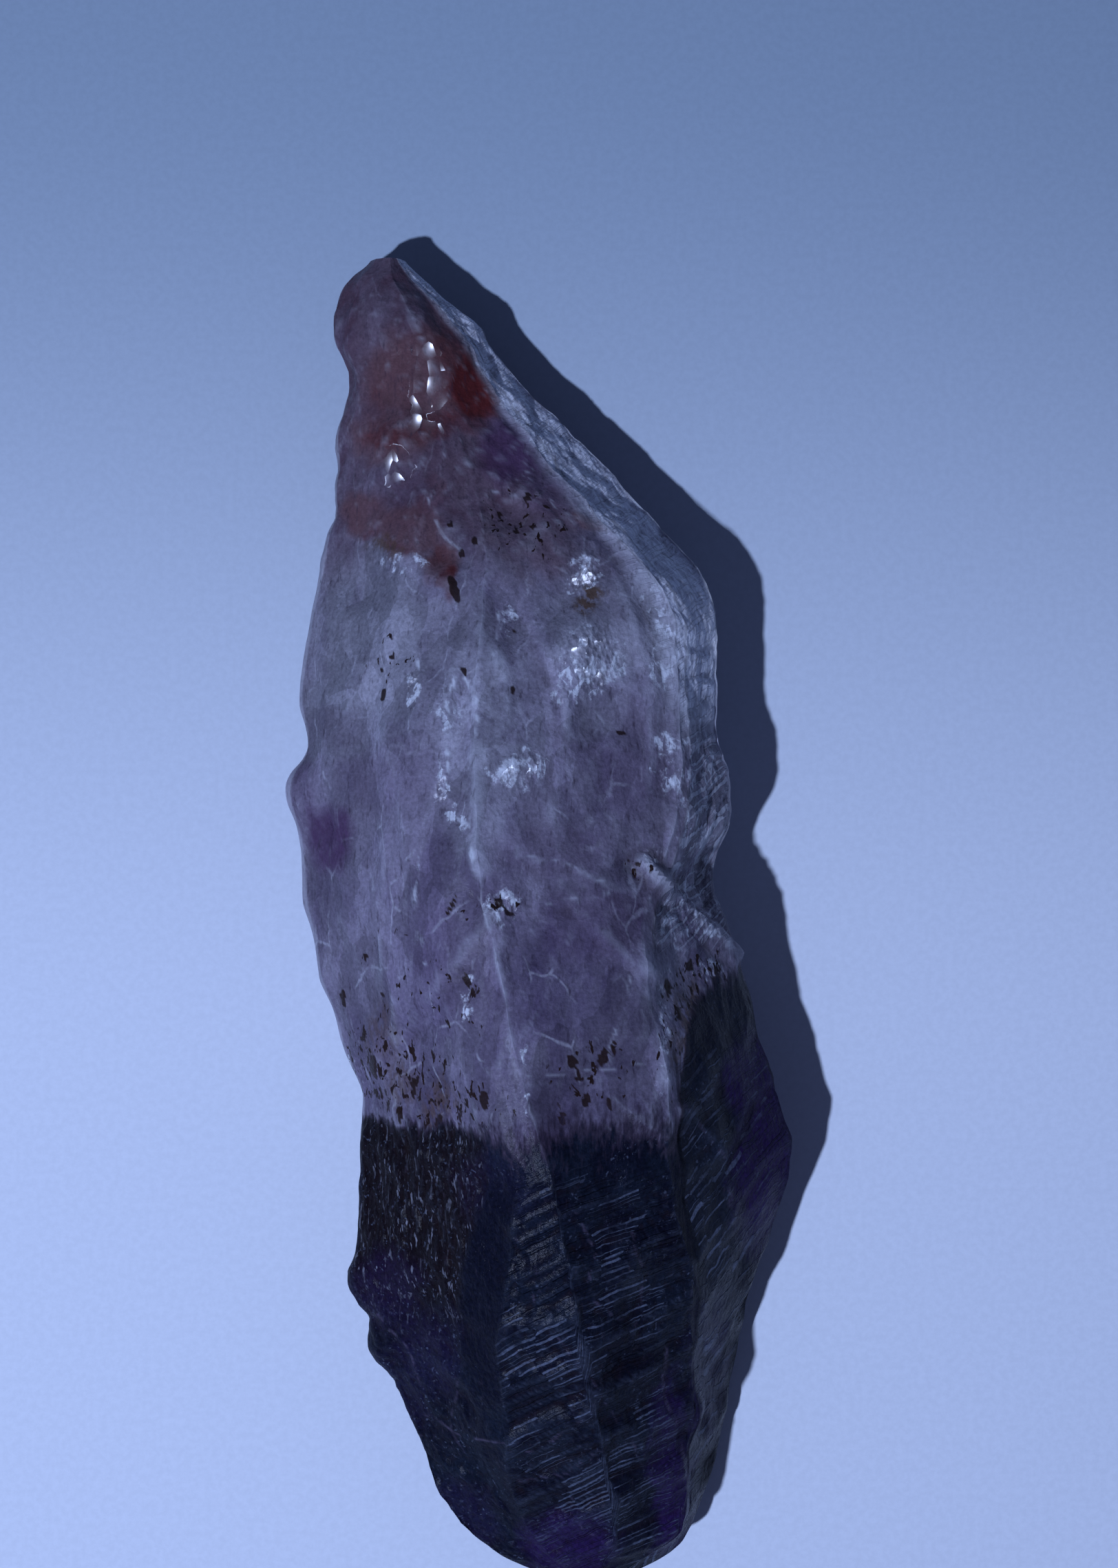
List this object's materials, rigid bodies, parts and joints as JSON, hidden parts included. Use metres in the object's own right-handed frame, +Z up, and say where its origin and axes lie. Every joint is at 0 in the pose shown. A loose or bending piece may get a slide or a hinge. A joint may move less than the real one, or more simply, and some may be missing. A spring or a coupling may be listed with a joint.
{
  "type": "amethyst point",
  "caption": "Raw elongated amethyst crystal with a narrow stained root end, a cloudy pale middle and a dark stepped tip, lying on its flattened back.",
  "frame": {"origin": "centre of the bounding box's bottom, on the ground under the lying stone", "axes": "+Y along the stone from the dark tip to the pale root end, +Z up, +X to the right when the root end points away"},
  "size_m": [0.0434, 0.115, 0.031],
  "materials": {
    "amethyst": "glassy on fresh faces, frosted where it is chipped or etched"
  },
  "bodies": {
    "root": {"amethyst_point": "amethyst"}
  },
  "joints": []
}
